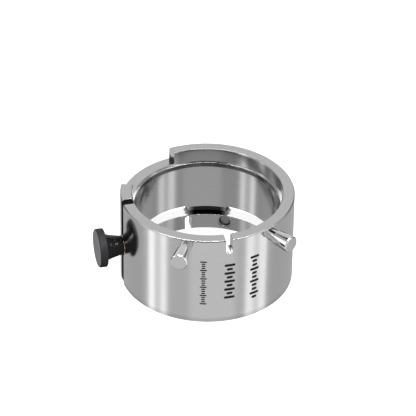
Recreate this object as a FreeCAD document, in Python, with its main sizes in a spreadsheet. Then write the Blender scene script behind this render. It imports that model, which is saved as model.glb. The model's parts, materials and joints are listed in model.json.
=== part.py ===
import FreeCAD, Part
import os
import re

import Sketcher

# Reversible holder ring for a wrist chronograph movement of 13 1/4 lignes (30.4 mm).
#
# Frame: millimetres, +Z up along the ring's axis, origin on that axis at the ring's lower face.
# An azimuth is measured about the axis from -Y (0) towards +X (90), so it grows anticlockwise
# when the ring is seen from above. A drawing of a radial piece has x as its distance from the
# ring's axis, so the numbers of neighbouring pieces can be read against each other.

DRIVING_SIZES = [
    # ring
    ("ring_height", 20.0, "ring, face to face"),
    ("outer_radius", 17.8, "ring, outside"),
    ("seat_radius", 15.3, "both seats, 0.1 larger than the movement"),
    ("bore_radius", 14.8, "bore between the seats, under the movement's edge"),
    ("upper_seat_depth", 3.1, "upper face down to its ledge"),
    ("lead_radius", 15.0, "inner edge of the upper ledge"),
    ("lead_height", 0.85, "cone from that edge down into the bore"),
    ("lower_seat_depth", 3.55, "lower face up to its ledge"),
    ("relief_radius", 16.2, "turned relief behind the lower seat"),
    ("relief_height", 2.35, "turned relief above the lower ledge"),
    ("edge_break", 0.2, "chamfers of the ring's outer and seat edges"),
    ("ledge_break", 0.12, "chamfer of the bore's lower end"),
    # milled and drilled features of the ring
    ("rim_cut_start", -152.8, "azimuth where the low stretch of the rim begins"),
    ("rim_cut_stop", -97, "azimuth where it ends"),
    ("rim_cut_depth", 2.65, "low stretch below the upper face"),
    ("stem_azimuth", 15, "slot for the movement's stem, upper seat"),
    ("stem_slot_width", 1.45, "both stem slots"),
    ("stem_slot_depth", 3.3, "both stem slots, from their faces"),
    ("start_spread", 31.7, "from the stem slot to the start pusher"),
    ("reset_spread", 28.7, "from the stem slot to the reset pusher"),
    ("pusher_drop", 1.8, "pusher axes below the upper face"),
    ("window_near", 110, "azimuth where each window begins, either side"),
    ("window_far", 166, "azimuth where each window ends, either side"),
    ("window_height", 2.8, "windows, from the lower ledge up"),
    ("plug_spread", 29, "from the lower stem slot to each lower pusher hole"),
    ("plug_height", 2.05, "lower pusher holes above the lower face"),
    ("plug_hole_diameter", 2.5, "lower pusher holes, threaded"),
    ("plug_mouth_diameter", 3.1, "countersink where such a hole meets the seat"),
    # clamp: knob, stud, blade, bush and spring on one radial axis
    ("clamp_azimuth", -75.2, "about a right angle from the stem"),
    ("clamp_height", 9.47, "clamp's axis above the lower face"),
    ("blade_slot_width", 1.8, "slot down the outside of the ring"),
    ("blade_slot_floor", 15.5, "radius of the slot's floor between the seats"),
    ("bridge_height", 0.5, "wall left inside the slot at each face of the ring"),
    ("bridge_radius", 15.55, "outside of that wall"),
    ("blade_width", 1.7, "clamp blade, side to side"),
    ("blade_tip", 15.35, "radius of the blade's tips at rest"),
    ("blade_back", 17.55, "radius of the blade's outer edge at rest"),
    ("blade_web_inside", 15.85, "radius of the blade's inner edge between its tips"),
    ("blade_web_outside", 16.35, "radius of the blade's seat for the stud's collar"),
    ("blade_end_gap", 0.1, "blade short of each face of the ring"),
    ("blade_notch", 15.85, "radius of the blade's inner edge beside the bridges"),
    ("blade_notch_length", 0.6, "the same notch, along the ring's axis"),
    ("blade_tip_length", 2.8, "each tip and its notch, along the ring's axis"),
    ("blade_window_height", 3.3, "cut in the blade's back that clears the bush"),
    ("bush_diameter", 2.9, "spring housing screwed into the ring"),
    ("bush_inner_end", 16.9, "radius where the bush stops in the ring"),
    ("bush_outer_end", 21.0, "radius of the bush's closed end"),
    ("bush_bore_diameter", 2.1, "room for the spring"),
    ("bush_bore_end", 20.3, "radius of the bush's inner shoulder"),
    ("bush_edge_break", 0.2, "chamfer of the bush's closed end"),
    ("spot_face_diameter", 4.3, "flat for the knob's neck on the ring"),
    ("spot_face_radius", 17.6, "radius of that flat"),
    ("collar_pocket_radius", 15.95, "floor of the pocket for the stud's collar"),
    ("stud_diameter", 1.0, "clamp stud"),
    ("stud_tail_diameter", 0.9, "stud's riveted end in the blade"),
    ("collar_diameter", 1.96, "stud's collar"),
    ("collar_thickness", 0.4, "stud's collar"),
    ("collar_gap", 0.12, "round the collar in its pocket"),
    ("stud_outer_end", 22.5, "radius of the stud's end in the knob"),
    ("knob_inner_end", 17.85, "radius of the knob's neck at rest"),
    ("knob_outer_end", 23.2, "radius of the knob's face at rest"),
    ("knob_neck_diameter", 3.85, "knob, beside the ring"),
    ("knob_neck_end", 18.65, "radius where the neck begins to swell"),
    ("knob_neck_end_diameter", 4.15, "neck there"),
    ("knob_bend", 20.1, "radius where the neck begins to flare"),
    ("knob_bend_diameter", 4.75, "neck there"),
    ("knob_flare_diameter", 5.65, "knob's neck, under its head"),
    ("knob_head_diameter", 8.0, "knob's head"),
    ("knob_head_thickness", 1.7, "knob's head"),
    ("knob_edge_break", 0.25, "chamfers of the knob's head"),
    ("knob_cavity_diameter", 3.1, "room for the bush in the knob"),
    ("knob_cavity_end", 21.3, "radius of that cavity's floor"),
    ("clamp_wire", 0.24, "clamp spring, wire"),
    ("clamp_coil_diameter", 1.64, "clamp spring, across wire centres"),
    ("clamp_coil_turns", 6, "clamp spring"),
    # pushers
    ("tube_diameter", 2.55, "pusher tube, outside"),
    ("tube_bore_diameter", 1.2, "pusher tube, inside"),
    ("tube_inner_end", 16.5, "radius where the tube begins in the ring"),
    ("tube_outer_end", 20.2, "radius where the tube ends in the cap"),
    ("cap_inner_end", 19.3, "radius of the cap's open end at rest"),
    ("cap_outer_end", 23.15, "radius of the cap's face at rest"),
    ("cap_diameter", 3.0, "cap at its open end"),
    ("cap_face_diameter", 3.5, "cap at its face"),
    ("cap_edge_break", 0.15, "chamfer round the cap's face"),
    ("cap_bore_diameter", 2.63, "cap over the tube"),
    ("cap_bore_end", 21.9, "radius of the cap's inner shoulder"),
    ("stem_diameter", 1.1, "pusher stem"),
    ("stem_inner_end", 15.35, "radius of the stem's tip at rest"),
    ("stem_outer_end", 22.4, "radius of the stem's end in the cap"),
    ("stem_tip_break", 0.15, "chamfer of the stem's tip"),
    ("clip_groove_diameter", 0.8, "groove for the clip in the stem"),
    ("clip_groove_width", 0.2, "the same groove"),
    ("clip_groove_start", 16.25, "radius where that groove begins"),
    ("clip_diameter", 1.9, "retaining clip, outside"),
    ("clip_thickness", 0.18, "retaining clip"),
    ("clip_arc", 290, "degrees of circle that the clip covers"),
    ("pusher_wire", 0.22, "pusher spring, wire"),
    ("pusher_coil_diameter", 1.85, "pusher spring, across wire centres"),
    ("pusher_coil_turns", 3, "pusher spring"),
    # blanking screws
    ("plug_inner_end", 15.9, "radius of a blanking screw's inner end"),
    ("plug_outer_end", 17.4, "radius of a blanking screw's slotted end"),
    ("plug_edge_break", 0.25, "chamfer of a blanking screw's inner end"),
    ("plug_slot_width", 0.45, "screwdriver slot"),
    ("plug_slot_depth", 0.6, "screwdriver slot"),
    # fits and margins
    ("fixed_gap", 0.01, "radial gap drawn at pressed and screwed joints"),
    ("running_gap", 0.05, "radial gap of the stud in its bush"),
    ("spring_end_gap", 0.01, "gap drawn at each end of a spring"),
    ("break_through", 0.4, "how far the slot for the blade's tips cuts inside the seat wall"),
    ("mouth_depth", 0.15, "countersinks of the lower pusher holes behind the seat wall"),
    ("run_out", 8, "how far a cutter runs past the metal"),
]

NAMES = {alias for alias, _, _ in DRIVING_SIZES}
LOCAL_AXIS_X = "placement(vector(0; 0; 0); rotation(vector(0; 0; 1); 0))"

doc = FreeCAD.newDocument("movement_holder")
sheet = doc.addObject("Spreadsheet::Sheet", "sizes")


def fill_sheet():
    for row, (alias, value, meaning) in enumerate(DRIVING_SIZES, start=1):
        sheet.set(f"A{row}", alias)
        sheet.set(f"B{row}", str(value))
        sheet.set(f"C{row}", meaning)
        sheet.setAlias(f"B{row}", alias)
    doc.recompute()


def formula(text):
    """The text with every size written as a reference to its cell of the sheet."""
    return re.sub(r"[a-z_]+", lambda m: "sizes." + m[0] if m[0] in NAMES else m[0], text)


def number(text):
    return float(sheet.evalExpression(formula(text)))


# --- sketches ---------------------------------------------------------------------------------


def new_sketch(body, name, plane, offset):
    """A sketch on one of the body's own origin planes, moved by a placement formula."""
    sketch = body.newObject("Sketcher::SketchObject", name)
    support = next(item for item in body.Origin.OriginFeatures if item.Role == plane)
    sketch.AttachmentSupport = [(support, "")]
    sketch.MapMode = "FlatFace"
    sketch.setExpression("AttachmentOffset", formula(offset))
    return sketch


def sketch_across(body, name, azimuth, radius="0"):
    """Plane facing outwards at an azimuth: x runs sideways, y up, and its normal outwards."""
    turn = f"placement(vector(0; 0; 0); rotation(vector(0; 1; 0); {azimuth}))"
    move = f"placement(vector(0; 0; {radius}); rotation(vector(0; 1; 0); 0))"
    return new_sketch(body, name, "XZ_Plane", f"{turn} * {move}")


def sketch_along(body, name, azimuth):
    """Plane through the ring's axis at an azimuth: x is the radius and y the height."""
    offset = f"placement(vector(0; 0; 0); rotation(vector(0; 1; 0); {azimuth} - 90))"
    return new_sketch(body, name, "XZ_Plane", offset)


def sketch_level(body, name, azimuth, height):
    """Horizontal plane at a height: -y points outwards at the azimuth."""
    offset = f"placement(vector(0; 0; {height}); rotation(vector(0; 0; 1); {azimuth}))"
    return new_sketch(body, name, "XY_Plane", offset)


def bind(sketch, constraint, label, text):
    index = sketch.addConstraint(constraint)
    sketch.renameConstraint(index, label)
    sketch.setExpression("Constraints." + label, formula(text))


def fix_point(sketch, geometry, point, x, y):
    """Ties a point to the sketch's origin by its two coordinates, given as formulas."""
    axes = (("DistanceX", x, -2), ("DistanceY", y, -1))
    for kind, text, zero_line in axes:
        value = number(text)
        label = f"{kind}_{geometry}_{point}"
        if abs(value) < 1e-9:
            sketch.addConstraint(Sketcher.Constraint("PointOnObject", geometry, point, zero_line))
        elif value > 0:
            constraint = Sketcher.Constraint(kind, -1, 1, geometry, point, value)
            bind(sketch, constraint, label, text)
        else:
            constraint = Sketcher.Constraint(kind, geometry, point, -1, 1, -value)
            bind(sketch, constraint, label, f"-({text})")


def draw_outline(sketch, corners):
    """Closed outline of straight lines through corners, each a pair of formulas."""
    places = [FreeCAD.Vector(number(x), number(y), 0) for x, y in corners]
    first = sketch.GeometryCount
    count = len(places)
    for index, start in enumerate(places):
        end = places[(index + 1) % count]
        sketch.addGeometry(Part.LineSegment(start, end), False)
    for index in range(count):
        following = first + (index + 1) % count
        sketch.addConstraint(Sketcher.Constraint("Coincident", first + index, 2, following, 1))
    for index, (x, y) in enumerate(corners):
        fix_point(sketch, first + index, 1, x, y)


def draw_circle(sketch, x, y, diameter):
    centre = FreeCAD.Vector(number(x), number(y), 0)
    circle = Part.Circle(centre, FreeCAD.Vector(0, 0, 1), number(diameter) / 2)
    geometry = sketch.addGeometry(circle, False)
    fix_point(sketch, geometry, 3, x, y)
    constraint = Sketcher.Constraint("Diameter", geometry, number(diameter))
    bind(sketch, constraint, f"Diameter_{geometry}", diameter)


# --- features ---------------------------------------------------------------------------------


def new_body(label):
    body = doc.addObject("PartDesign::Body", label)
    body.Label = label
    return body


def volume(body):
    doc.recompute()
    return body.Shape.Volume


def turn_outline(body, sketch, axis, angle="360"):
    """Revolves a sketch about its own H_Axis or V_Axis."""
    feature = body.newObject("PartDesign::Revolution", sketch.Name + "_turned")
    feature.Profile = sketch
    feature.ReferenceAxis = (sketch, [axis])
    feature.setExpression("Angle", formula(angle))
    doc.recompute()
    return feature


def cut_outwards(body, sketch, length):
    """Cuts a sketch along its normal and checks that metal was removed."""
    cut_feature(body, sketch, length, "One side", True)


def cut_downwards(body, sketch, length):
    cut_feature(body, sketch, length, "One side", False)


def cut_both_ways(body, sketch, length):
    cut_feature(body, sketch, length, "Symmetric", False)


def cut_feature(body, sketch, length, side, reverse):
    before = volume(body)
    feature = body.newObject("PartDesign::Pocket", sketch.Name + "_cut")
    feature.Profile = sketch
    feature.SideType = side
    feature.Reversed = reverse
    feature.setExpression("Length", formula(length))
    if volume(body) > before - 1e-3:
        raise RuntimeError(feature.Name + " removed nothing")


def cut_round(body, sketch, axis, angle="360"):
    """Cuts by turning a sketch about one of its own axes and checks that metal was removed."""
    before = volume(body)
    feature = body.newObject("PartDesign::Groove", sketch.Name + "_cut")
    feature.Profile = sketch
    feature.ReferenceAxis = (sketch, [axis])
    feature.setExpression("Angle", formula(angle))
    if volume(body) > before - 1e-3:
        raise RuntimeError(feature.Name + " removed nothing")


def place_radially(body, azimuth, height):
    """Turns a piece drawn along X so that it points outwards at an azimuth and height."""
    place = f"placement(vector(0; 0; {height}); rotation(vector(0; 0; 1); {azimuth} - 90))"
    body.setExpression("Placement", formula(place))


def turned_piece(label, corners, azimuth, height, angle="360"):
    """A piece turned about its radial axis, from corners (radius from the ring's axis, own radius)."""
    body = new_body(label)
    sketch = new_sketch(body, label + "_profile", "XY_Plane", LOCAL_AXIS_X)
    draw_outline(sketch, corners)
    turn_outline(body, sketch, "H_Axis", angle)
    place_radially(body, azimuth, height)
    return body


# --- the ring ---------------------------------------------------------------------------------


def ring_blank(body):
    sketch = sketch_along(body, "ring_profile", "90")
    upper_ledge = "ring_height - upper_seat_depth"
    relief_top = "lower_seat_depth + relief_height"
    draw_outline(
        sketch,
        [
            ("seat_radius + edge_break", "0"),
            ("outer_radius - edge_break", "0"),
            ("outer_radius", "edge_break"),
            ("outer_radius", "ring_height - edge_break"),
            ("outer_radius - edge_break", "ring_height"),
            ("seat_radius + edge_break", "ring_height"),
            ("seat_radius", "ring_height - edge_break"),
            ("seat_radius", upper_ledge),
            ("lead_radius", upper_ledge),
            ("bore_radius", f"{upper_ledge} - lead_height"),
            ("bore_radius", f"{relief_top} + ledge_break"),
            ("bore_radius + ledge_break", relief_top),
            ("relief_radius", relief_top),
            ("relief_radius", "lower_seat_depth"),
            ("seat_radius", "lower_seat_depth"),
            ("seat_radius", "edge_break"),
        ],
    )
    turn_outline(body, sketch, "V_Axis")


def cut_low_rim(body):
    """Lowers one stretch of the rim between two radial end walls."""
    sketch = sketch_along(body, "low_rim", "rim_cut_start")
    low = "ring_height - rim_cut_depth"
    top = "ring_height + rim_cut_depth"
    near = "bore_radius / 2"
    far = "outer_radius + run_out"
    draw_outline(sketch, [(near, low), (far, low), (far, top), (near, top)])
    cut_round(body, sketch, "V_Axis", "rim_cut_stop - rim_cut_start")


def cut_stem_slot(body, name, azimuth, end, mouth):
    """A slot with a round end at height end, open at the face beyond height mouth."""
    drilled = sketch_across(body, name + "_end", azimuth)
    draw_circle(drilled, "0", end, "stem_slot_width")
    cut_outwards(body, drilled, "outer_radius + run_out")
    milled = sketch_across(body, name, azimuth)
    half = "stem_slot_width / 2"
    draw_outline(milled, [(f"-{half}", end), (half, end), (half, mouth), (f"-{half}", mouth)])
    cut_outwards(body, milled, "outer_radius + run_out")


def cut_stem_slots(body):
    upper_end = "ring_height - stem_slot_depth + stem_slot_width / 2"
    cut_stem_slot(body, "upper_stem_slot", "stem_azimuth", upper_end, "ring_height + run_out")
    lower_end = "stem_slot_depth - stem_slot_width / 2"
    cut_stem_slot(body, "lower_stem_slot", "stem_azimuth + 180", lower_end, "-run_out")


def cut_blade_slot(body):
    """Full-height slot for the blade, with an opening into each seat for the blade's tips."""
    sketch = sketch_along(body, "blade_slot", "clamp_azimuth")
    tips = "seat_radius - break_through"
    far = "outer_radius + run_out"
    upper_ledge = "ring_height - upper_seat_depth"
    upper_bridge = "ring_height - bridge_height"
    corners = [
        ("bridge_radius", "-run_out"),
        (far, "-run_out"),
        (far, "ring_height + run_out"),
        ("bridge_radius", "ring_height + run_out"),
        ("bridge_radius", upper_bridge),
        (tips, upper_bridge),
        (tips, upper_ledge),
        ("blade_slot_floor", upper_ledge),
        ("blade_slot_floor", "lower_seat_depth"),
        (tips, "lower_seat_depth"),
        (tips, "bridge_height"),
        ("bridge_radius", "bridge_height"),
    ]
    draw_outline(sketch, corners)
    cut_both_ways(body, sketch, "blade_slot_width")


def cut_clamp_bore(body):
    """Spot face, bush seat and collar pocket, one behind the other on the clamp's axis."""
    steps = [
        ("spot_face", "spot_face_radius", "spot_face_diameter"),
        ("bush_seat", "bush_inner_end", "bush_diameter + 2 * fixed_gap"),
        ("collar_pocket", "collar_pocket_radius", "collar_diameter + 2 * collar_gap"),
    ]
    for name, radius, diameter in steps:
        sketch = sketch_across(body, name, "clamp_azimuth", radius)
        draw_circle(sketch, "0", "clamp_height", diameter)
        cut_outwards(body, sketch, "run_out")


def cut_pusher_holes(body):
    diameter = "tube_diameter + 2 * fixed_gap"
    for name, azimuth in PUSHER_AZIMUTHS.items():
        sketch = sketch_across(body, name + "_hole", azimuth)
        draw_circle(sketch, "0", PUSHER_HEIGHT, diameter)
        cut_outwards(body, sketch, "outer_radius + run_out")


def cut_plug_holes(body):
    """Threaded holes of the lower seat's pushers, countersunk towards the seat."""
    for index, azimuth in enumerate(PLUG_AZIMUTHS):
        hole = sketch_across(body, f"plug_hole_{index}", azimuth)
        draw_circle(hole, "0", "plug_height", "plug_hole_diameter")
        cut_outwards(body, hole, "outer_radius + run_out")
        mouth = sketch_across(body, f"plug_mouth_{index}", azimuth)
        draw_circle(mouth, "0", "plug_height", "plug_mouth_diameter")
        cut_outwards(body, mouth, "seat_radius + mouth_depth")


def cut_windows(body):
    """Two windows with round ends, milled through the wall on either side of the back."""
    low = "lower_seat_depth"
    top = "lower_seat_depth + window_height"
    middle = "lower_seat_depth + window_height / 2"
    end_angle = "asin(window_height / 2 / outer_radius) / 1 deg"
    starts = {"right": f"window_near + {end_angle}", "left": f"-window_far + {end_angle}"}
    stops = {"right": f"window_far - {end_angle}", "left": f"-window_near - {end_angle}"}
    sweep = f"window_far - window_near - 2 * {end_angle}"
    near = "bore_radius / 2"
    far = "outer_radius + run_out"
    for side in ("right", "left"):
        band = sketch_along(body, side + "_window", starts[side])
        draw_outline(band, [(near, low), (far, low), (far, top), (near, top)])
        cut_round(body, band, "V_Axis", sweep)
        for name, azimuth in (("_start", starts[side]), ("_stop", stops[side])):
            end = sketch_across(body, side + "_window" + name, azimuth)
            draw_circle(end, "0", middle, "window_height")
            cut_outwards(body, end, far)


def holder_ring():
    body = new_body("holder_ring")
    ring_blank(body)
    cut_low_rim(body)
    cut_stem_slots(body)
    cut_blade_slot(body)
    cut_clamp_bore(body)
    cut_pusher_holes(body)
    cut_plug_holes(body)
    cut_windows(body)
    return body


# --- the clamp --------------------------------------------------------------------------------


def clamp_blade():
    """Flat blade that slides radially in its slot: a tip in each seat, cut back for the bush."""
    body = new_body("clamp_blade")
    sketch = sketch_along(body, "blade_profile", "90")
    low = "blade_end_gap"
    high = "ring_height - blade_end_gap"
    window_low = "clamp_height - blade_window_height / 2"
    window_high = "clamp_height + blade_window_height / 2"
    corners = [
        ("blade_notch", low),
        ("blade_back", low),
        ("blade_back", window_low),
        ("blade_web_outside", window_low),
        ("blade_web_outside", window_high),
        ("blade_back", window_high),
        ("blade_back", high),
        ("blade_notch", high),
        ("blade_notch", f"{high} - blade_notch_length"),
        ("blade_tip", f"{high} - blade_notch_length"),
        ("blade_tip", f"{high} - blade_tip_length"),
        ("blade_web_inside", f"{high} - blade_tip_length"),
        ("blade_web_inside", f"{low} + blade_tip_length"),
        ("blade_tip", f"{low} + blade_tip_length"),
        ("blade_tip", f"{low} + blade_notch_length"),
        ("blade_notch", f"{low} + blade_notch_length"),
    ]
    draw_outline(sketch, corners)
    slab = body.newObject("PartDesign::Pad", "blade_slab")
    slab.Profile = sketch
    slab.SideType = "Symmetric"
    slab.setExpression("Length", formula("blade_width"))
    doc.recompute()
    hole = sketch_across(body, "blade_hole", "90")
    draw_circle(hole, "0", "clamp_height", "stud_tail_diameter + 2 * fixed_gap")
    cut_outwards(body, hole, "outer_radius + run_out")
    place_radially(body, "clamp_azimuth", "0")
    return body


def clamp_stud():
    """Stud with a collar for the spring: riveted in the blade, screwed into the knob."""
    half_tail = "stud_tail_diameter / 2"
    half_collar = "collar_diameter / 2"
    half_stud = "stud_diameter / 2"
    collar_end = "blade_web_outside + collar_thickness"
    corners = [
        ("blade_web_inside", "0"),
        ("blade_web_inside", half_tail),
        ("blade_web_outside", half_tail),
        ("blade_web_outside", half_collar),
        (collar_end, half_collar),
        (collar_end, half_stud),
        ("stud_outer_end", half_stud),
        ("stud_outer_end", "0"),
    ]
    return turned_piece("clamp_stud", corners, "clamp_azimuth", "clamp_height")


def clamp_bush():
    half_outside = "bush_diameter / 2"
    half_bore = "bush_bore_diameter / 2"
    half_eye = "stud_diameter / 2 + running_gap"
    corners = [
        ("bush_inner_end", half_bore),
        ("bush_inner_end", half_outside),
        ("bush_outer_end - bush_edge_break", half_outside),
        ("bush_outer_end", f"{half_outside} - bush_edge_break"),
        ("bush_outer_end", half_eye),
        ("bush_bore_end", half_eye),
        ("bush_bore_end", half_bore),
    ]
    return turned_piece("clamp_bush", corners, "clamp_azimuth", "clamp_height")


def clamp_knob():
    """Mushroom knob with a flared neck, hollow for the bush."""
    half_neck = "knob_neck_diameter / 2"
    half_flare = "knob_flare_diameter / 2"
    half_head = "knob_head_diameter / 2"
    half_cavity = "knob_cavity_diameter / 2"
    half_hole = "stud_diameter / 2 + fixed_gap"
    head_start = "knob_outer_end - knob_head_thickness"
    corners = [
        ("knob_inner_end", half_cavity),
        ("knob_inner_end", half_neck),
        ("knob_neck_end", "knob_neck_end_diameter / 2"),
        ("knob_bend", "knob_bend_diameter / 2"),
        (head_start, half_flare),
        (head_start, f"{half_head} - knob_edge_break"),
        (f"{head_start} + knob_edge_break", half_head),
        ("knob_outer_end - knob_edge_break", half_head),
        ("knob_outer_end", f"{half_head} - knob_edge_break"),
        ("knob_outer_end", "0"),
        ("stud_outer_end", "0"),
        ("stud_outer_end", half_hole),
        ("knob_cavity_end", half_hole),
        ("knob_cavity_end", half_cavity),
    ]
    return turned_piece("clamp_knob", corners, "clamp_azimuth", "clamp_height")


# --- the pushers ------------------------------------------------------------------------------


def pusher_cap(name, azimuth):
    """Hollow head that slides over the tube, a little wider at its face."""
    half_bore = "cap_bore_diameter / 2"
    half_open = "cap_diameter / 2"
    half_face = "cap_face_diameter / 2"
    half_hole = "stem_diameter / 2 + fixed_gap"
    corners = [
        ("cap_inner_end", half_bore),
        ("cap_inner_end", half_open),
        ("cap_outer_end - cap_edge_break", half_face),
        ("cap_outer_end", f"{half_face} - cap_edge_break"),
        ("cap_outer_end", "0"),
        ("stem_outer_end", "0"),
        ("stem_outer_end", half_hole),
        ("cap_bore_end", half_hole),
        ("cap_bore_end", half_bore),
    ]
    return turned_piece(name + "_cap", corners, azimuth, PUSHER_HEIGHT)


def pusher_tube(name, azimuth):
    half_bore = "tube_bore_diameter / 2"
    half_outside = "tube_diameter / 2"
    corners = [
        ("tube_inner_end", half_bore),
        ("tube_inner_end", half_outside),
        ("tube_outer_end", half_outside),
        ("tube_outer_end", half_bore),
    ]
    return turned_piece(name + "_tube", corners, azimuth, PUSHER_HEIGHT)


def pusher_stem(name, azimuth):
    """Stem that reaches the movement's lever, with a groove for its clip."""
    half_stem = "stem_diameter / 2"
    half_groove = "clip_groove_diameter / 2"
    groove_end = "clip_groove_start + clip_groove_width"
    corners = [
        ("stem_inner_end", "0"),
        ("stem_inner_end", f"{half_stem} - stem_tip_break"),
        ("stem_inner_end + stem_tip_break", half_stem),
        ("clip_groove_start", half_stem),
        ("clip_groove_start", half_groove),
        (groove_end, half_groove),
        (groove_end, half_stem),
        ("stem_outer_end", half_stem),
        ("stem_outer_end", "0"),
    ]
    return turned_piece(name + "_stem", corners, azimuth, PUSHER_HEIGHT)


def pusher_clip(name, azimuth):
    """Open ring that snaps into the stem's groove and stops against the tube."""
    start = "clip_groove_start + (clip_groove_width - clip_thickness) / 2"
    end = f"{start} + clip_thickness"
    inside = "clip_groove_diameter / 2 + fixed_gap"
    outside = "clip_diameter / 2"
    corners = [(start, inside), (start, outside), (end, outside), (end, inside)]
    return turned_piece(name + "_clip", corners, azimuth, PUSHER_HEIGHT, "clip_arc")


def coil_spine(label, coil, pitch, turns):
    """Wire axis of a spring: half turns of a circle, each leant so that its end meets the next."""
    half_turns = []
    lean = f"placement(vector(0; 0; 0); rotation(vector(0; 1; 0); atan({pitch} / 2 / {coil})))"
    for index in range(2 * turns):
        half_turn = doc.addObject("Part::Circle", f"{label}_half_turn_{index}")
        half_turn.Angle1 = 0
        half_turn.Angle2 = 180
        half_turn.setExpression("Radius", formula(f"sqrt(({coil} / 2) ^ 2 + ({pitch} / 4) ^ 2)"))
        rise = f"({2 * index + 1}) * {pitch} / 4"
        turn = f"placement(vector(0; 0; {rise}); rotation(vector(0; 0; 1); {180 * index}))"
        half_turn.setExpression("Placement", formula(f"{turn} * {lean}"))
        half_turns.append(half_turn)
    spine = doc.addObject("Part::Compound", label + "_spine")
    spine.Links = half_turns
    return spine


def coil_spring(label, wire, coil, turns, start, end, azimuth, height):
    """Compression spring between two radii: a round wire swept along its half turns."""
    count = round(number(turns))
    pitch = f"(({end} - ({start}) - {wire} - 2 * spring_end_gap) / {turns})"
    spine = coil_spine(label, coil, pitch, count)
    section = doc.addObject("Part::Circle", label + "_wire")
    section.setExpression("Radius", formula(f"{wire} / 2"))
    lean = "rotation(vector(1; 0; 0); 90)"
    section.setExpression("Placement", formula(f"placement(vector({coil} / 2; 0; 0); {lean})"))
    spring = doc.addObject("Part::Sweep", label)
    spring.Label = label
    spring.Sections = [section]
    spring.Spine = (spine, [f"Edge{index + 1}" for index in range(2 * count)])
    spring.Solid = True
    first = f"({start}) + {wire} / 2 + spring_end_gap"
    turn = f"placement(vector(0; 0; {height}); rotation(vector(0; 0; 1); {azimuth} - 90))"
    lay = f"placement(vector({first}; 0; 0); rotation(vector(0; 1; 0); 90))"
    spring.setExpression("Placement", formula(f"{turn} * {lay}"))
    return spring


def pusher(name, azimuth):
    spring = coil_spring(
        name + "_spring", "pusher_wire", "pusher_coil_diameter", "pusher_coil_turns",
        "tube_outer_end", "cap_bore_end", azimuth, PUSHER_HEIGHT,
    )
    return [
        pusher_cap(name, azimuth),
        pusher_tube(name, azimuth),
        pusher_stem(name, azimuth),
        pusher_clip(name, azimuth),
        spring,
    ]


# --- the blanking screws ----------------------------------------------------------------------


def blanking_screw(name, azimuth):
    """Slotted grub screw that closes a pusher hole of the lower seat."""
    half = "plug_hole_diameter / 2 - fixed_gap"
    corners = [
        ("plug_inner_end", "0"),
        ("plug_inner_end", f"{half} - plug_edge_break"),
        ("plug_inner_end + plug_edge_break", half),
        ("plug_outer_end", half),
        ("plug_outer_end", "0"),
    ]
    body = turned_piece(name, corners, azimuth, "plug_height")
    sketch = new_sketch(body, name + "_slot", "XY_Plane", LOCAL_AXIS_X)
    near = "plug_outer_end - plug_slot_depth"
    far = "plug_outer_end + run_out"
    side = "plug_slot_width / 2"
    draw_outline(sketch, [(near, f"-{side}"), (far, f"-{side}"), (far, side), (near, side)])
    cut_both_ways(body, sketch, "2 * plug_hole_diameter")
    return body


def blanking_screws():
    """Both screws as one group of separate solids."""
    group = doc.addObject("Part::Compound", "blanking_screws")
    group.Label = "blanking_screws"
    group.Links = [
        blanking_screw(f"blanking_screw_{index}", azimuth)
        for index, azimuth in enumerate(PLUG_AZIMUTHS)
    ]
    return group


# --- building, checking, writing ---------------------------------------------------------------

PUSHER_HEIGHT = "ring_height - pusher_drop"
PUSHER_AZIMUTHS = {
    "start_pusher": "stem_azimuth + start_spread",
    "reset_pusher": "stem_azimuth - reset_spread",
}
PLUG_AZIMUTHS = ["stem_azimuth + 180 - plug_spread", "stem_azimuth - 180 + plug_spread"]


def build_sub_parts():
    clamp_spring = coil_spring(
        "clamp_spring", "clamp_wire", "clamp_coil_diameter", "clamp_coil_turns",
        "blade_web_outside + collar_thickness", "bush_bore_end",
        "clamp_azimuth", "clamp_height",
    )
    pieces = [
        holder_ring(),
        clamp_knob(),
        clamp_stud(),
        clamp_blade(),
        clamp_bush(),
        clamp_spring,
        blanking_screws(),
    ]
    for name, azimuth in PUSHER_AZIMUTHS.items():
        pieces.extend(pusher(name, azimuth))
    return pieces


def check(pieces):
    for item in doc.Objects:
        if "Invalid" in item.State or "Error" in item.State:
            raise RuntimeError(f"{item.Label} failed: {item.State}")
    for piece in pieces:
        if piece.Shape.isNull() or not piece.Shape.isValid():
            raise RuntimeError(f"{piece.Label} has no valid shape")


def write(pieces):
    os.makedirs("parts", exist_ok=True)
    for piece in pieces:
        piece.Shape.exportStep(f"parts/{piece.Label}.step")


fill_sheet()
sub_parts = build_sub_parts()
doc.recompute()
check(sub_parts)
write(sub_parts)
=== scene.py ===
import json
import math

import bmesh
import bpy
from mathutils import Matrix, Vector


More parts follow.
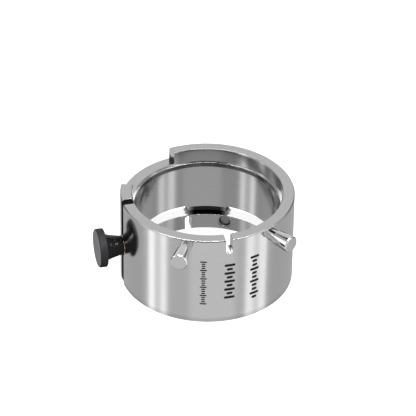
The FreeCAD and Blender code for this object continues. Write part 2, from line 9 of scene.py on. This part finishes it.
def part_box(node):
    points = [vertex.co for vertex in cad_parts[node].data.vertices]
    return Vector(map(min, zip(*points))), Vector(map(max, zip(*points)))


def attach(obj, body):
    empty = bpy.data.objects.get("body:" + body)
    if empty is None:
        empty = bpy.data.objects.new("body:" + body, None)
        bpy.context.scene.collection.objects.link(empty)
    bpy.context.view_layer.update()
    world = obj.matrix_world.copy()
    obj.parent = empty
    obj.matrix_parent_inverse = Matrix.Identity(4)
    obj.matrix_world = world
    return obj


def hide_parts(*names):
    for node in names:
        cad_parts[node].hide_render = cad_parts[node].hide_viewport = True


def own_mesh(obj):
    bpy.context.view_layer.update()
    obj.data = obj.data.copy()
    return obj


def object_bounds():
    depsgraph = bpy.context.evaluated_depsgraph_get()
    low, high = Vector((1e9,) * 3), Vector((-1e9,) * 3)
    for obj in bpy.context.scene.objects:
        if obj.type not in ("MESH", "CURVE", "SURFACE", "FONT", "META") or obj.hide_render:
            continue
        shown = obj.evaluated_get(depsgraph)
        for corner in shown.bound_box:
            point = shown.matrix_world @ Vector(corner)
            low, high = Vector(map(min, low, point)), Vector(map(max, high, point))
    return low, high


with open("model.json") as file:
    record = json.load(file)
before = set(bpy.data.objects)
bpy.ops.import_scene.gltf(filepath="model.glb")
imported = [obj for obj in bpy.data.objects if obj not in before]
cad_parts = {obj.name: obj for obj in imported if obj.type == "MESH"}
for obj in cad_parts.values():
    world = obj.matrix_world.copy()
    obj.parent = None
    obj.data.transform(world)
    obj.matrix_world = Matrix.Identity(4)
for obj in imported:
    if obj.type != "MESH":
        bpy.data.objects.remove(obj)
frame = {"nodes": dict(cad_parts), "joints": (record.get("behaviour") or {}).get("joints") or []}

# Looks of the movement holder ring: finishes, softened turned pieces, index marks, studio, camera.
# An azimuth is measured about the ring's axis from -Y (0) towards +X (90), in degrees.

MM = 0.001
CAD_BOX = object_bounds()
NODES = frame["nodes"]
JOINTS = {joint["name"]: joint for joint in frame["joints"]}

# Finishes, as linear shares of light.
STEEL_TINT = (0.72, 0.72, 0.725)
POLISHED_TINT = (0.86, 0.86, 0.865)
ACETAL_TINT = (0.003, 0.003, 0.0032)
BLADE_TINT = (0.002, 0.002, 0.0022)
WIRE_TINT = (0.55, 0.55, 0.56)
BRASS_TINT = (0.72, 0.52, 0.24)
INK_TINT = (0.006, 0.006, 0.007)

# The knob: multiples of its tint on its face and its head's side, which paint their sheen, and the
# finish of the head.
FACE_PAINTED_SHEEN = 40
HEAD_PAINTED_SHEEN = 3
HEAD_SPECULAR = 0.04
HEAD_ROUGHNESS = 0.5

# Shares of light kept by zones of the ring and by small pieces: painted shade, highlights and
# reflections, except the screws' share, which is their black oxide.
FACE_PAINTED_SHADE = 0.46
BORE_PAINTED_SHADE = 0.62
BORE_SIDES_PAINTED_SHADE = 0.80
UPPER_SEAT_PAINTED_SHADE = 0.45
UPPER_SEAT_SIDES_PAINTED_SHADE = 0.75
LOWER_SEAT_PAINTED_SHADE = 0.50
LEDGE_PAINTED_HIGHLIGHT = 1.45
LEDGE_BACK_PAINTED_REFLECTION = 0.06
RELIEF_PAINTED_SHADE = 0.03
FOOT_PAINTED_SHADE = 0.82
RIM_END_PAINTED_HIGHLIGHT = 1.3
RIM_END_PAINTED_SHADE = 0.16
SCREW_SHARE = 0.45
SEAM_PAINTED_SHADOW = 0.05

# Width of the painted shadow line where a tube enters its cap, in millimetres.
SEAM_WIDTH = 0.22

# Upright painted reflection stripes on inner walls: azimuth on either side, half their width, share
# of light kept.
BORE_PAINTED_REFLECTIONS = ((150, 4, 0.70), (136, 4, 0.64))
UPPER_SEAT_PAINTED_REFLECTIONS = ((152, 4, 0.74), (132, 3, 1.00))

# What polished metal sees. Boxes over the table have azimuths from, to, and a level of light. Two
# dark gaps lie over the table's edge. The front and the rest of the room are lighter higher up.
TABLE_LEVEL = 0.56
FRONT_BOX = (-22, 40, 0.70)
SIDE_BOXES = ((-83, -72, 1.45), (-64, -54, 1.30), (54, 67, 1.20), (73, 86, 1.20))
BETWEEN_BOXES = ((-72, -64, 0.80), (67, 73, 0.85))
BEHIND_BOXES = (92, 0.47)
UNDER_TABLE = 0.26
GAPS = ((-108, -56), (102, 152))
GAP_LEVEL = 0.02
FRONT_LEVEL = 0.50
FRONT_LEVEL_HIGH = 0.80
ROOM_LEVEL = 0.14
ROOM_LEVEL_HIGH = 0.40
REAR_LEVEL = 1.35
SIDE_LEVEL = 1.60
SIDE_LEVEL_HIGH = 0.75
CEILING_LEVEL = 0.02
OVERHEAD_LEVEL = 14.0

# Area lights: energy, size, azimuth, rise, distance.
SIDE_LIGHTS = ((0.6, 0.35, -68, 39, 0.58), (0.6, 0.35, 68, 39, 0.58))
KNOB_LIGHT = (9.0, 0.2, 33, 54, 0.5)

# Camera: over the front of the ring, long lens.
CAMERA_ELEVATION = math.radians(34.89)
CAMERA_ROLL = math.radians(0.87)
CAMERA_DISTANCE = 552.3 * MM
CAMERA_LENS = 234.9
AIM_ASIDE = 0.16 * MM
AIM_FORWARD = -1.97 * MM
AIM_BELOW_TOP = 2.83 * MM

# Index marks: azimuth, first bar below the top, bars, spacing, width, thickness, long bar every.
MARK_COLUMNS = (
    (-1.8, 4.97, 21, 0.518, 0.80, 0.30, 4),
    (15.4, 6.07, 9, 0.99, 1.30, 0.58, 2),
    (33.0, 5.43, 11, 0.994, 1.20, 0.58, 3),
)


# --- node graphs ---------------------------------------------------------------------------------


class Graph:
    """A shader tree with short calls for the nodes that the finishes use."""

    def __init__(self, tree):
        self.tree = tree
        tree.nodes.clear()

    def set(self, socket, value):
        if isinstance(value, bpy.types.NodeSocket):
            self.tree.links.new(value, socket)
        else:
            socket.default_value = value

    def node(self, kind, settings=None, **inputs):
        made = self.tree.nodes.new(kind)
        for name, value in (settings or {}).items():
            setattr(made, name, value)
        for name, value in inputs.items():
            self.set(made.inputs[name.replace("_", " ")], value)
        return made

    def math(self, operation, *values):
        made = self.tree.nodes.new("ShaderNodeMath")
        made.operation = operation
        for socket, value in zip(made.inputs, values):
            self.set(socket, value)
        return made.outputs[0]

    def add(self, *values):
        total = values[0]
        for value in values[1:]:
            total = self.math("ADD", total, value)
        return total

    def times(self, *values):
        total = values[0]
        for value in values[1:]:
            total = self.math("MULTIPLY", total, value)
        return total

    def centred(self, value, width):
        """A 0 to 1 pattern as a change of that width about nothing."""
        return self.times(self.math("SUBTRACT", value, 0.5), width)

    def step(self, value, low, high):
        """0 below low, 1 above high, smooth between."""
        made = self.tree.nodes.new("ShaderNodeMapRange")
        made.interpolation_type = "SMOOTHSTEP"
        for name, amount in (("Value", value), ("From Min", low), ("From Max", high)):
            self.set(made.inputs[name], amount)
        return made.outputs[0]

    def between(self, value, low, high, soft):
        """1 from low to high, 0 outside."""
        rising = self.step(value, low - soft, low + soft)
        falling = self.step(value, high - soft, high + soft)
        return self.math("SUBTRACT", rising, falling)

    def mix(self, share, low, high):
        """low where share is 0 and high where it is 1."""
        return self.math("MULTIPLY_ADD", share, self.math("SUBTRACT", high, low), low)

    def vector(self, x, y, z):
        made = self.tree.nodes.new("ShaderNodeCombineXYZ")
        for socket, value in zip(made.inputs, (x, y, z)):
            self.set(socket, value)
        return made.outputs[0]

    def split(self, vector):
        return tuple(self.node("ShaderNodeSeparateXYZ", None, Vector=vector).outputs)

    def noise(self, vector, scale, detail=2.0, rough=0.5):
        made = self.node(
            "ShaderNodeTexNoise", None, Vector=vector, Scale=scale, Detail=detail, Roughness=rough
        )
        return made.outputs["Fac"]

    def tint(self, colour, share):
        """A colour multiplied by a share."""
        made = self.tree.nodes.new("ShaderNodeVectorMath")
        made.operation = "SCALE"
        self.set(made.inputs[0], colour)
        self.set(made.inputs["Scale"], share)
        return made.outputs[0]

    def degrees(self, x, y):
        """Azimuth of a direction or place."""
        angle = self.math("ARCTAN2", x, self.times(y, -1))
        return self.times(angle, 180 / math.pi)


def new_material(name):
    material = bpy.data.materials.new(name)
    material.use_nodes = True
    graph = Graph(material.node_tree)
    surface = graph.node("ShaderNodeBsdfPrincipled")
    output = graph.node("ShaderNodeOutputMaterial")
    graph.tree.links.new(surface.outputs[0], output.inputs["Surface"])
    return material, graph, surface


class Place:
    """Object position in millimetres, turned so that z runs along a piece's own axis."""

    def __init__(self, graph, turn=None, height=0.0):
        position = graph.node("ShaderNodeTexCoord").outputs["Object"]
        mapping = graph.node("ShaderNodeMapping", {"vector_type": "TEXTURE"}, Vector=position)
        mapping.inputs["Location"].default_value = (0, 0, height)
        mapping.inputs["Rotation"].default_value = turn or (0, 0, 0)
        self.vector = graph.tint(mapping.outputs[0], 1 / MM)
        self.x, self.y, self.z = graph.split(self.vector)
        squares = graph.add(graph.times(self.x, self.x), graph.times(self.y, self.y))
        self.radius = graph.math("SQRT", squares)
        self.angle = graph.math("ARCTAN2", self.x, self.y)


# --- metal ---------------------------------------------------------------------------------------


def lathe_lines(graph, place):
    """Fine lines round the axis."""
    across = graph.vector(
        graph.times(place.angle, 1.5), graph.times(place.radius, 22), graph.times(place.z, 22)
    )
    return graph.noise(across, 1.0, 3.0, 0.6)


def leaning_hairlines(graph, place):
    """A few long scratches that lean across the lathe's lines."""
    lean = graph.times(graph.add(place.angle, graph.times(place.z, 0.035)), 150)
    across = graph.vector(lean, graph.times(place.z, 0.35), graph.times(place.radius, 0.35))
    return graph.step(graph.noise(across, 1.0, 1.0, 0.4), 0.70, 0.78)


def turned_steel(
    name, tint, roughness, axis=None, zones=None, line_depth=0.6, stretch=0.0, haze=0.05
):
    """Metal turned on a lathe: fine lines, speckle, hairlines and softened edges."""
    material, graph, surface = new_material(name)
    place = Place(graph, axis.turn(), axis.height) if axis else Place(graph)
    lines, hairlines = lathe_lines(graph, place), leaning_hairlines(graph, place)
    speckle = graph.noise(place.vector, 6.5, 4.0, 0.7)
    smudge = graph.noise(place.vector, 0.28, 3.0, 0.55)
    rough = graph.add(
        roughness,
        graph.centred(smudge, haze),
        graph.centred(speckle, haze * 1.4),
        graph.times(hairlines, 0.06),
    )
    soft = graph.node("ShaderNodeBevel", {"samples": 4}, Radius=0.05 * MM)
    height = graph.add(
        graph.times(lines, line_depth), graph.times(speckle, 0.55), graph.times(hairlines, -0.35)
    )
    bump = graph.node(
        "ShaderNodeBump", None,
        Strength=0.12, Distance=0.02 * MM, Height=height, Normal=soft.outputs[0],
    )
    share = graph.add(0.965, graph.centred(lines, 0.12))
    if zones:
        share = graph.times(share, zones(graph, place))
    graph.set(surface.inputs["Base Color"], graph.tint(tint, share))
    graph.set(surface.inputs["Metallic"], 1.0)
    graph.set(surface.inputs["Roughness"], rough)
    graph.set(surface.inputs["Normal"], bump.outputs[0])
    if stretch:
        tangent = graph.node("ShaderNodeTangent", {"direction_type": "RADIAL", "axis": "Z"})
        graph.set(surface.inputs["Anisotropic"], stretch)
        graph.set(surface.inputs["Tangent"], tangent.outputs[0])
    return material


def blackened(graph, place):
    """Uneven black oxide."""
    return graph.times(graph.add(0.5, graph.noise(place.vector, 1.6)), SCREW_SHARE)


def painted_top_shade(graph, place):
    """Painted shade on the upward surfaces of a polished piece, which keep less light."""
    up = graph.split(graph.node("ShaderNodeNewGeometry").outputs["Normal"])[2]
    return graph.mix(graph.step(up, 0.80, 0.96), 1.0, FACE_PAINTED_SHADE)


def seam_shadow(start):
    """The same, with a painted shadow line round the piece where another one begins to cover it."""

    def zones(graph, place):
        line = graph.step(place.z, start - SEAM_WIDTH, start - SEAM_WIDTH / 2)
        return graph.mix(line, painted_top_shade(graph, place), SEAM_PAINTED_SHADOW)

    return zones


def inner_wall_painted_light(graph, aside, share, sides_share, stripes):
    """An inner wall's painted shade, from its back to its sides, with upright painted reflection
    stripes.
    """
    share = graph.mix(graph.step(aside, 150, 120), share, sides_share)
    for middle, half, stripe_share in stripes:
        band = graph.between(aside, middle - half, middle + half, half)
        share = graph.mix(band, share, stripe_share)
    return share


def ring_painted_light(graph, place):
    """Painted shade, highlights and reflections on the ring's faces, bore, seats, ledge, relief,
    rim end and foot.

    Heights and radii are in millimetres, and directions are cosines or degrees.
    """
    normal_x, normal_y, up = graph.split(graph.node("ShaderNodeNewGeometry").outputs["Normal"])
    outward = graph.add(graph.times(normal_x, place.x), graph.times(normal_y, place.y))
    inward = graph.math("DIVIDE", graph.times(outward, -1), place.radius)
    azimuth = graph.degrees(place.x, place.y)
    aside = graph.math("ABSOLUTE", azimuth)
    inner = graph.step(inward, 0.4, 0.7)
    upright = graph.math("SUBTRACT", 1.0, graph.step(graph.math("ABSOLUTE", up), 0.2, 0.4))

    # Painted shade on the bore and the seats, with painted reflection stripes.
    bore_shade = inner_wall_painted_light(graph, aside, BORE_PAINTED_SHADE, BORE_SIDES_PAINTED_SHADE, BORE_PAINTED_REFLECTIONS)
    share = graph.mix(inner, 1.0, bore_shade)
    upper_seat = graph.times(inner, graph.step(place.z, 16.85, 16.95))
    seat_shade = inner_wall_painted_light(
        graph, aside, UPPER_SEAT_PAINTED_SHADE, UPPER_SEAT_SIDES_PAINTED_SHADE, UPPER_SEAT_PAINTED_REFLECTIONS
    )
    share = graph.mix(upper_seat, share, seat_shade)
    lower_seat = graph.times(inner, graph.step(place.z, 3.60, 3.50))
    share = graph.mix(lower_seat, share, LOWER_SEAT_PAINTED_SHADE)

    # Painted highlight on the upper ledge, and a painted dark reflection at its back.
    upper_ledge = graph.times(graph.step(up, 0.1, 0.2), graph.between(place.z, 15.9, 17.1, 0.05))
    flat_back = graph.times(graph.step(up, 0.35, 0.5), graph.step(aside, 160, 168))
    ledge_light = graph.mix(flat_back, LEDGE_PAINTED_HIGHLIGHT, LEDGE_BACK_PAINTED_REFLECTION)
    share = graph.mix(upper_ledge, share, ledge_light)
    # Painted shade on the upward faces.
    faces = graph.times(graph.step(up, 0.85, 0.95), graph.step(place.z, 17.1, 17.2))
    share = graph.mix(faces, share, FACE_PAINTED_SHADE)

    # Painted shade in the relief behind the lower seat.
    behind = graph.times(graph.step(aside, 163, 171), graph.between(place.z, 3.50, 5.95, 0.04))
    relief = graph.times(behind, graph.between(place.radius, 15.38, 16.35, 0.02))
    share = graph.mix(relief, share, RELIEF_PAINTED_SHADE)

    # Painted highlight over painted shade on the left end face of the rim.
    crosswise = graph.math("SUBTRACT", 1.0, graph.step(graph.math("ABSOLUTE", inward), 0.55, 0.85))
    left = graph.times(graph.step(azimuth, -100, -110), graph.step(place.z, 17.3, 17.4))
    rim_end = graph.times(upright, crosswise, left)
    # Painted shade at the foot of the outer wall.
    foot = graph.times(graph.step(inward, -0.7, -0.9), graph.step(place.z, 1.5, 0.5))
    share = graph.mix(foot, share, FOOT_PAINTED_SHADE)
    dark = graph.step(place.z, 18.6, 18.2)
    share = graph.mix(rim_end, share, graph.mix(dark, RIM_END_PAINTED_HIGHLIGHT, RIM_END_PAINTED_SHADE))
    return share


# --- black plastic and ink -----------------------------------------------------------------------


def black_acetal(name, tint, roughness, axis=None, specular=0.12, head=None):
    """Turned black plastic: tool marks and a wavy gloss; a satin head, with its side and face
    lightened as painted sheen.
    """
    material, graph, surface = new_material(name)
    place = Place(graph, axis.turn(), axis.height) if axis else Place(graph)
    across = graph.vector(graph.times(place.radius, 9), 0.0, graph.times(place.z, 9))
    grooves = graph.noise(across, 1.0, 2.0)
    waves = graph.noise(place.vector, 1.1, 1.0, 0.4)
    grain = graph.noise(place.vector, 14.0, 3.0, 0.7)
    height = graph.add(
        graph.times(grooves, 0.8), graph.times(waves, 3.4), graph.times(grain, 0.12)
    )
    bump = graph.node("ShaderNodeBump", None, Strength=0.6, Distance=0.06 * MM, Height=height)
    share = graph.add(0.6, grain)
    rough = graph.add(roughness, graph.centred(grain, 0.12))
    if head:
        head_from, face_from = head
        # Painted sheen: the face and the head's side are lightened.
        face = graph.step(place.z, face_from - 0.03, face_from)
        share = graph.mix(face, share, graph.add(FACE_PAINTED_SHEEN, graph.centred(grooves, 14.0)))
        whole_head = graph.step(place.z, head_from, head_from + 0.1)
        share = graph.mix(whole_head, share, graph.mix(face, HEAD_PAINTED_SHEEN, share))
        rough = graph.mix(whole_head, rough, HEAD_ROUGHNESS)
        specular = graph.mix(whole_head, specular, HEAD_SPECULAR)
    graph.set(surface.inputs["Base Color"], graph.tint(tint, share))
    graph.set(surface.inputs["Roughness"], rough)
    graph.set(surface.inputs["Specular IOR Level"], specular)
    graph.set(surface.inputs["Normal"], bump.outputs[0])
    return material


def ink(name):
    """Matt black filling of the index marks."""
    material, graph, surface = new_material(name)
    grain = graph.noise(Place(graph).vector, 9.0, 3.0, 0.7)
    graph.set(surface.inputs["Base Color"], graph.tint(INK_TINT, graph.add(0.5, grain)))
    graph.set(surface.inputs["Roughness"], graph.add(0.55, graph.times(grain, 0.3)))
    graph.set(surface.inputs["Specular IOR Level"], 0.2)
    return material


# --- radial pieces -------------------------------------------------------------------------------


class RadialAxis:
    """The axis of a piece that points outwards from the ring, read from its joint and its node."""

    def __init__(self, joint_name, node, sense):
        self.out = Vector(JOINTS[joint_name]["axis"]).normalized() * sense
        low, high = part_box(node)
        self.height = (low.z + high.z) / 2
        self.side = Vector((0, 0, 1)).cross(self.out)

    def matrix(self):
        """From (side, up, out) coordinates of the piece to the row frame."""
        columns = Matrix((self.side, Vector((0, 0, 1)), self.out)).transposed()
        return Matrix.Translation((0, 0, self.height)) @ columns.to_4x4()

    def turn(self):
        return self.matrix().to_euler()

    def measure(self, node):
        """Each vertex of a CAD node as (distance from the ring's axis, distance from this axis)."""
        points = []
        for vertex in NODES[node].data.vertices:
            offset = vertex.co - Vector((0, 0, self.height))
            along = offset.dot(self.out)
            points.append((along, (offset - self.out * along).length))
        return points


def rounded(corners, segments=8):
    """A profile of (along, radius) points from (along, radius, fillet) corners."""
    points = []
    for index, (along, radius, fillet) in enumerate(corners):
        here = Vector((along, radius))
        if fillet <= 0 or index in (0, len(corners) - 1):
            points.append(here)
            continue
        before = Vector(corners[index - 1][:2]) - here
        after = Vector(corners[index + 1][:2]) - here
        bend = before.angle(after)
        cut = min(fillet / math.tan(bend / 2), before.length * 0.49, after.length * 0.49)
        start, end = here + before.normalized() * cut, here + after.normalized() * cut
        for number in range(segments + 1):
            share = number / segments
            points.append(start.lerp(here, share).lerp(here.lerp(end, share), share))
    return points


def link(name, mesh):
    piece = bpy.data.objects.new(name, mesh)
    bpy.context.scene.collection.objects.link(piece)
    return piece


def lathe(name, profile, axis, steps=128):
    """A closed solid turned about a radial axis from a profile whose ends lie on that axis."""
    mesh = bpy.data.meshes.new(name)
    build = bmesh.new()
    angles = [2 * math.pi * number / steps for number in range(steps)]
    rings = []
    for along, radius in profile:
        if radius < 1e-9:
            rings.append([build.verts.new((0, 0, along))])
            continue
        rings.append([
            build.verts.new((radius * math.cos(angle), radius * math.sin(angle), along))
            for angle in angles
        ])
    for first, second in zip(rings, rings[1:]):
        for number in range(steps):
            near = [first[number % len(first)], first[(number + 1) % len(first)]]
            far = [second[(number + 1) % len(second)], second[number % len(second)]]
            build.faces.new(list(dict.fromkeys(near + far)))
    bmesh.ops.recalc_face_normals(build, faces=build.faces)
    build.transform(axis.matrix())
    build.to_mesh(mesh)
    build.free()
    mesh.shade_smooth()
    mesh.set_sharp_from_angle(angle=math.radians(35))
    return link(name, mesh)


def radii(points, along):
    """Radii of the measured points at one distance from the ring's axis."""
    return [radius for at, radius in points if abs(at - along) < 1e-6]


def pusher_cap(name, joint_name, body):
    """Polished pusher head with eased edges, hollow for its tube."""
    node = name + "_cap"
    axis = RadialAxis(joint_name, node, -1)
    points = axis.measure(node)
    inner, outer = min(points)[0], max(points)[0]
    bore, open_radius = min(radii(points, inner)), max(radii(points, inner))
    face_radius = max(radius for along, radius in points)
    inside = [along for along, radius in points if radius > bore - 1e-6]
    floor = max(along for along in inside if along < outer - 0.5 * MM)
    ease = 0.16 * MM
    corners = [
        (floor, 0, 0),
        (floor, bore, 0.02 * MM),
        (inner, bore, 0.04 * MM),
        (inner, open_radius, 0.07 * MM),
        (outer - ease * 1.2, face_radius, ease * 0.8),
        (outer, face_radius - ease, ease * 0.8),
        (outer, 0, 0),
    ]
    piece = lathe(name + "_head", rounded(corners), axis)
    piece.data.materials.append(polish(name + "_polish", axis))
    finish_piece(piece, body, "pusher_steel", node)
    return axis


# Polished steel, by default with painted shade on its upward faces.
def polish(name, axis, zones=painted_top_shade):
    return turned_steel(name, POLISHED_TINT, 0.06, axis, zones, line_depth=0.3, haze=0.03)


def clamp_knob():
    """Mushroom knob with a hollow flared neck and a head with eased edges."""
    node = "clamp_knob"
    axis = RadialAxis("clamp_pull", node, 1)
    points = axis.measure(node)
    inner, outer = min(points)[0], max(points)[0]
    head_radius = max(radius for along, radius in points)
    head_start = min(along for along, radius in points if radius > head_radius * 0.9)
    flare = max(radius for radius in radii(points, head_start) if radius < head_radius * 0.9)
    neck, cavity = max(radii(points, inner)), min(radii(points, inner))
    floor = max(along for along, radius in points if abs(radius - cavity) < 1e-6)
    bends = {
        (round(along, 6), round(radius, 6)) for along, radius in points
        if inner + 1e-5 < along < head_start - 1e-5 and radius > neck
    }
    corners = [
        (floor, 0, 0),
        (floor, cavity, 0.1 * MM),
        (inner, cavity, 0.08 * MM),
        (inner, neck, 0.08 * MM),
        *[(along, radius, 0.8 * MM) for along, radius in sorted(bends)],
        (head_start, flare, 0.12 * MM),
        (head_start, head_radius, 0.24 * MM),
        (outer, head_radius, 0.36 * MM),
        (outer, 0, 0),
    ]
    piece = lathe("clamp_knob_turned", rounded(corners), axis)
    head = (head_start / MM, outer / MM - 0.05)
    acetal = black_acetal("knob_acetal", ACETAL_TINT, 0.14, axis, head=head)
    piece.data.materials.append(acetal)
    finish_piece(piece, "clamp", "knob_acetal", node)
    return piece, axis


def coil(name, axis):
    """A spring copied from its CAD node, in steel wire, carried by the ring."""
    node = name + "_spring"
    piece = link(name + "_coil", NODES[node].data.copy())
    piece.data.materials.clear()
    piece.data.materials.append(turned_steel(name + "_wire", WIRE_TINT, 0.3))
    finish_piece(piece, "ring", "spring_steel", node)
    points = axis.measure(node)
    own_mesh(piece)


def finish_piece(piece, body, slot, *nodes):
    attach(piece, body)
    if nodes:
        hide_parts(*nodes)


# --- index marks ---------------------------------------------------------------------------------


def index_marks():
    """Three columns of plain bars, filled black, at the sides of the stem slot."""
    low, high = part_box("holder_ring")
    ring_radius = (high.x - low.x) / 2
    mesh = bpy.data.meshes.new("index_marks")
    build = bmesh.new()
    for azimuth, first, count, spacing, width, thickness, every in MARK_COLUMNS:
        for number in range(count):
            wide = width * (1.75 if number % every == 0 else 1)
            rise = high.z - (first + number * spacing) * MM
            add_bar(build, ring_radius, math.radians(azimuth), rise, wide * MM, thickness * MM)
    bmesh.ops.recalc_face_normals(build, faces=build.faces)
    build.to_mesh(mesh)
    build.free()
    mesh.materials.append(ink("index_ink"))
    finish_piece(link("index_marks", mesh), "ring", "ring_steel")


def add_bar(build, ring_radius, azimuth, height, width, thickness, steps=10):
    """One bar with round ends, wrapped on the ring's outer wall."""
    proud, sunk = 0.012 * MM, 0.03 * MM
    rows = []
    for number in range(steps + 1):
        aside = -math.cos(math.pi * number / steps) * width / 2
        reach = max(abs(aside) - (width - thickness) / 2, 0)
        half = math.sqrt(max((thickness / 2) ** 2 - reach ** 2, (0.04 * thickness) ** 2))
        angle = azimuth + aside / ring_radius
        out = Vector((math.sin(angle), -math.cos(angle), 0))
        rows.append([
            build.verts.new(out * (ring_radius + lift) + Vector((0, 0, height + rise)))
            for lift, rise in ((proud, -half), (proud, half), (-sunk, half), (-sunk, -half))
        ])
    for first, second in zip(rows, rows[1:]):
        for k in range(4):
            build.faces.new((first[k], first[(k + 1) % 4], second[(k + 1) % 4], second[k]))
    build.faces.new(rows[0][::-1])
    build.faces.new(rows[-1])


# --- studio --------------------------------------------------------------------------------------


def studio_reflections(graph, depth):
    """What polished pieces see: a striped table, a dark gap, side lights, a dark ceiling, a lamp.

    The lamp is seen directly in a surface, and not in a reflection of another surface.
    """
    direction = graph.node("ShaderNodeTexCoord").outputs["Generated"]
    x, y, z = graph.split(direction)
    azimuth = graph.degrees(x, y)
    aside = graph.math("ABSOLUTE", azimuth)
    rise = graph.times(graph.math("ARCSINE", z), 180 / math.pi)

    table = TABLE_LEVEL
    for start, end, level in (FRONT_BOX, *SIDE_BOXES, *BETWEEN_BOXES):
        table = graph.mix(graph.between(azimuth, start, end, 3), table, level)
    edge, level = BEHIND_BOXES
    table = graph.mix(graph.step(aside, edge - 3, edge + 4), table, level)
    table = graph.mix(graph.step(rise, -44, -48), table, UNDER_TABLE)
    side = graph.mix(graph.step(rise, 24, 32), SIDE_LEVEL, SIDE_LEVEL_HIGH)
    behind = graph.step(aside, 60, 80)
    low = graph.mix(behind, FRONT_LEVEL, ROOM_LEVEL)
    high = graph.mix(behind, FRONT_LEVEL_HIGH, ROOM_LEVEL_HIGH)
    front = graph.mix(graph.step(rise, 16, 22), low, high)
    room = graph.mix(graph.between(aside, 44, 96, 4), front, side)
    room = graph.mix(graph.step(aside, 138, 152), room, REAR_LEVEL)

    (left, left_end), (right, right_end) = GAPS
    gaps = graph.add(
        graph.between(azimuth, left, left_end, 5), graph.between(azimuth, right, right_end, 5)
    )
    seen = graph.mix(graph.times(gaps, graph.step(rise, -28, -20)), table, GAP_LEVEL)
    seen = graph.mix(graph.step(rise, -4, 3), seen, room)
    seen = graph.mix(graph.step(rise, 46, 54), seen, CEILING_LEVEL)
    lamp = graph.times(graph.step(rise, 60, 63), graph.step(depth, 2.6, 2.4))
    return graph.mix(lamp, seen, OVERHEAD_LEVEL)


def build_world():
    """White light for the matt surfaces and a studio for the polished ones."""
    world = bpy.data.worlds.new("studio")
    bpy.context.scene.world = world
    world.use_nodes = True
    graph = Graph(world.node_tree)
    light = graph.node("ShaderNodeLightPath")
    shiny = light.outputs["Is Glossy Ray"]
    level = graph.mix(shiny, 1.0, studio_reflections(graph, light.outputs["Ray Depth"]))
    background = graph.node("ShaderNodeBackground", None, Strength=level)
    background.inputs["Color"].default_value = (1, 1, 1, 1)
    output = graph.node("ShaderNodeOutputWorld")
    graph.tree.links.new(background.outputs[0], output.inputs["Surface"])


def build_floor():
    """Plain white table, itself slightly luminous, so that it stays pale under the ring."""
    mesh = bpy.data.meshes.new("floor")
    half = 1.5
    corners = [(-half, -half, 0), (half, -half, 0), (half, half, 0), (-half, half, 0)]
    mesh.from_pydata(corners, [], [(0, 1, 2, 3)])
    floor = link("floor", mesh)
    floor.location.z = CAD_BOX[0].z - 0.02 * MM
    floor.visible_glossy = False
    material, graph, surface = new_material("floor_white")
    share = graph.add(0.97, graph.times(graph.noise(Place(graph).vector, 0.05), 0.05))
    graph.set(surface.inputs["Base Color"], graph.tint((0.8, 0.8, 0.8), share))
    graph.set(surface.inputs["Roughness"], 0.9)
    graph.set(surface.inputs["Emission Color"], (1, 1, 1, 1))
    graph.set(surface.inputs["Emission Strength"], 0.75)
    mesh.materials.append(material)


def aimed_light(name, energy, size, azimuth, rise, distance):
    """An area light aimed at the ring."""
    data = bpy.data.lights.new(name, "AREA")
    data.energy = energy
    data.size = size
    lamp = link(name, data)
    azimuth, rise = math.radians(azimuth), math.radians(rise)
    level = Vector((math.sin(azimuth), -math.cos(azimuth), 0)) * math.cos(rise)
    lamp.location = (level + Vector((0, 0, math.sin(rise)))) * distance
    lamp.rotation_mode = "QUATERNION"
    lamp.rotation_quaternion = (-lamp.location).to_track_quat("-Z", "Y")
    return lamp


def build_lights(knob):
    """A soft light from each side for matt surfaces, and a small one seen in the knob's gloss."""
    for light in SIDE_LIGHTS:
        aimed_light("side_light", *light).visible_glossy = False
    gloss = aimed_light("knob_light", *KNOB_LIGHT)
    only_knob = bpy.data.collections.new("only_knob")
    only_knob.objects.link(knob)
    gloss.light_linking.receiver_collection = only_knob


def build_camera():
    data = bpy.data.cameras.new("camera")
    data.lens = CAMERA_LENS
    camera = link("camera", data)
    back = Vector((0, -math.cos(CAMERA_ELEVATION), math.sin(CAMERA_ELEVATION)))
    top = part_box("holder_ring")[1].z
    aim = Vector((AIM_ASIDE, AIM_FORWARD, top - AIM_BELOW_TOP))
    level = (-back).to_track_quat("-Z", "Y")
    roll = Matrix.Rotation(CAMERA_ROLL, 4, "Z").to_quaternion()
    camera.location = aim + back * CAMERA_DISTANCE
    camera.rotation_mode = "QUATERNION"
    camera.rotation_quaternion = level @ roll
    bpy.context.scene.camera = camera
    bpy.context.scene.view_settings.view_transform = "Standard"


# --- finishes of the CAD nodes -------------------------------------------------------------------


def give(node, material):
    mesh = NODES[node].data
    mesh.materials.clear()
    mesh.materials.append(material)


def finish_nodes(clamp_axis, pusher_axes):
    wire = turned_steel("clip_wire", WIRE_TINT, 0.3)
    # The ring's colour carries painted shade, highlights and reflections.
    ring = turned_steel("ring_turned", STEEL_TINT, 0.14, zones=ring_painted_light, stretch=0.55)
    give("holder_ring", ring)
    give("clamp_blade", black_acetal("blade_acetal", BLADE_TINT, 0.6, specular=0.02))
    give("clamp_stud", turned_steel("stud_turned", WIRE_TINT, 0.25, clamp_axis))
    give("clamp_bush", turned_steel("bush_brass", BRASS_TINT, 0.22, clamp_axis))
    give("blanking_screws", turned_steel("screw_turned", WIRE_TINT, 0.3, zones=blackened))
    for name, axis in pusher_axes:
        # Tubes: painted shade on top, and a painted shadow line where the cap covers them.
        seam = min(axis.measure(name + "_cap"))[0] / MM
        give(name + "_tube", polish(name + "_tube_polish", axis, seam_shadow(seam)))
        give(name + "_stem", turned_steel(name + "_stem_turned", WIRE_TINT, 0.16, axis))
        give(name + "_clip", wire)


knob, clamp_axis = clamp_knob()
pusher_axes = [
    ("start_pusher", pusher_cap("start_pusher", "start_press", "start_pusher")),
    ("reset_pusher", pusher_cap("reset_pusher", "reset_press", "reset_pusher")),
]
finish_nodes(clamp_axis, pusher_axes)
coil("clamp", clamp_axis)
for name, axis in pusher_axes:
    coil(name, axis)
index_marks()
build_world()
build_floor()
build_lights(knob)
build_camera()
